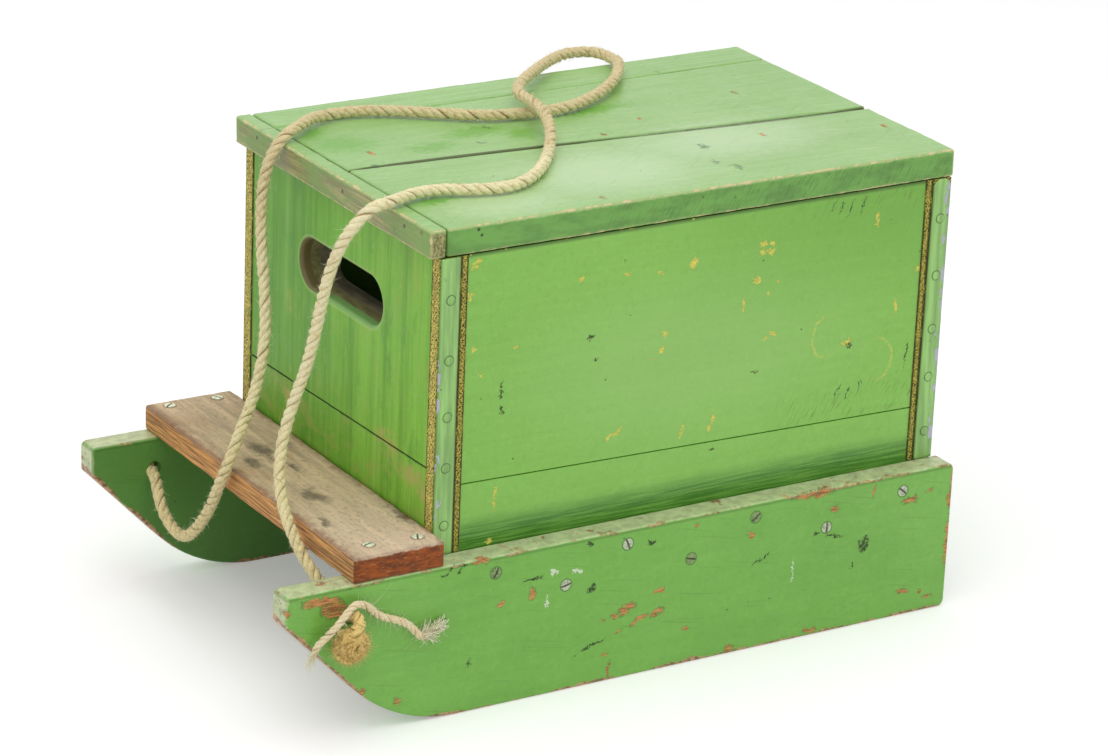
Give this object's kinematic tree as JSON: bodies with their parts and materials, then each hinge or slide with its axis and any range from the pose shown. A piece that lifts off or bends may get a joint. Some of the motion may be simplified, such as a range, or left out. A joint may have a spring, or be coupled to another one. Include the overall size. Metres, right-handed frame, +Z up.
{
  "type": "ice fishing sled",
  "caption": "Painted board box with a hinged seat lid on two wooden runner boards, a footboard in front and a loose tow rope.",
  "frame": {"origin": "on the floor, under the middle of the runners' length and of the width over the runners", "axes": "+X towards the tow end, +Y to the sled's left, +Z up"},
  "size_m": [0.64, 0.4224, 0.4287],
  "materials": {
    "green_paint": "worn green paint on wood",
    "bare_wood": "weathered bare wood",
    "rough_wood": "rough sawn, thinly painted",
    "woven_tape": "woven tape with old yellow paint",
    "painted_strip": "green paint with bare metal patches",
    "hinge_metal": "dull steel",
    "rope": "laid natural fibre"
  },
  "bodies": {
    "sled": {"runner_left": "green_paint", "runner_right": "green_paint", "side_lower_left": "green_paint", "side_lower_right": "green_paint", "side_upper_left": "green_paint", "side_upper_right": "green_paint", "front_lower": "green_paint", "front_upper": "green_paint", "rear_lower": "green_paint", "rear_upper": "green_paint", "front_backer": "rough_wood", "rear_backer": "rough_wood", "floor_board": "rough_wood", "footboard": "bare_wood", "tape_front_left": "woven_tape", "tape_front_right": "woven_tape", "tape_rear_left": "woven_tape", "tape_rear_right": "woven_tape", "strip_front_left": "painted_strip", "strip_front_right": "painted_strip", "strip_rear_left": "painted_strip", "strip_rear_right": "painted_strip", "hinge_box_leaf_front": "hinge_metal", "hinge_pin_front": "hinge_metal", "hinge_box_leaf_rear": "hinge_metal", "hinge_pin_rear": "hinge_metal", "rope_right": "rope", "rope_left": "rope", "knot_left": "rope", "knot_right": "rope", "loose_strand": "rope"},
    "lid": {"lid_front_strip": "green_paint", "lid_plank_left": "green_paint", "lid_plank_middle": "green_paint", "lid_plank_right": "green_paint", "lid_cleat_front": "rough_wood", "lid_cleat_rear": "rough_wood", "hinge_lid_leaf_front": "hinge_metal", "hinge_lid_leaf_rear": "hinge_metal", "rope_lid": "rope"}
  },
  "joints": [
    {"name": "lid_hinge", "type": "hinge", "parent": "sled", "child": "lid", "pos_m": [0, -0.164, 0.3782], "axis": [1, 0, 0], "range_deg": [0, 100]}
  ]
}
